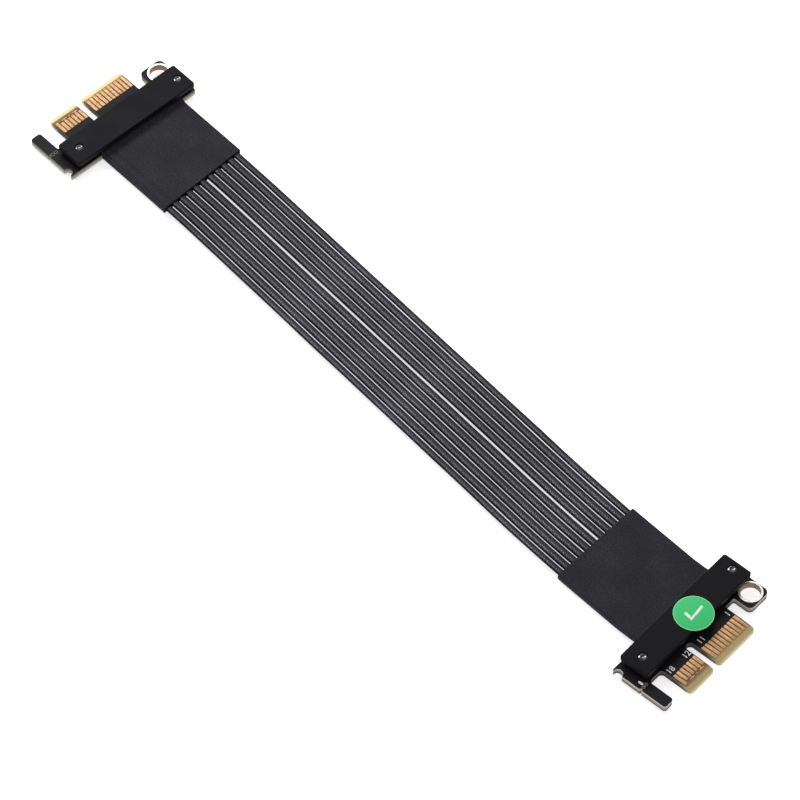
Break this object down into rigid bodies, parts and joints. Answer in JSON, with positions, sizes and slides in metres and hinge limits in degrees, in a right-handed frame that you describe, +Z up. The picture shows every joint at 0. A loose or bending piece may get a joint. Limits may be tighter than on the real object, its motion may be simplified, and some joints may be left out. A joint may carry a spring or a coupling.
{
  "type": "pcie extension cable",
  "caption": "Flat extension cable with a male card edge at each end, joined by side-by-side twin-core strips with cloth sleeves and a riveted cover plate on each card.",
  "frame": {"origin": "middle of the foot of the part's box, on the surface that the rivets' feet rest on", "axes": "+X along the straight ribbon from end A to end B, +Y across the ribbon toward the fixing tabs, +Z up"},
  "size_m": [0.2018, 0.0404, 0.0046],
  "materials": {
    "card_mask": "satin",
    "gold": "polished",
    "tin": "satin",
    "solder": "satin",
    "cover": "matte",
    "rivet": "gloss",
    "foam": "matte",
    "core": "satin",
    "jacket": "satin",
    "tape": "matte",
    "label": "satin"
  },
  "bodies": {
    "root": {"card_a": "card_mask", "card_b": "card_mask", "contacts_bottom_a": "gold", "contacts_bottom_b": "gold", "contacts_top_a": "gold", "contacts_top_b": "gold", "cores_a": "core", "cores_b": "core", "cover_a": "cover", "cover_b": "cover", "foam_a": "foam", "foam_b": "foam", "hole_rings_a": "tin", "hole_rings_b": "tin", "rivets_a": "rivet", "rivets_b": "rivet", "sleeve_a": "tape", "sleeve_b": "tape", "solder_joints_a": "solder", "solder_joints_b": "solder", "sticker": "label", "strip_01": "jacket", "strip_02": "jacket", "strip_03": "jacket", "strip_04": "jacket", "strip_05": "jacket", "strip_06": "jacket", "strip_07": "jacket", "strip_08": "jacket", "strip_09": "jacket", "strip_10": "jacket", "strip_11": "jacket"}
  },
  "joints": []
}
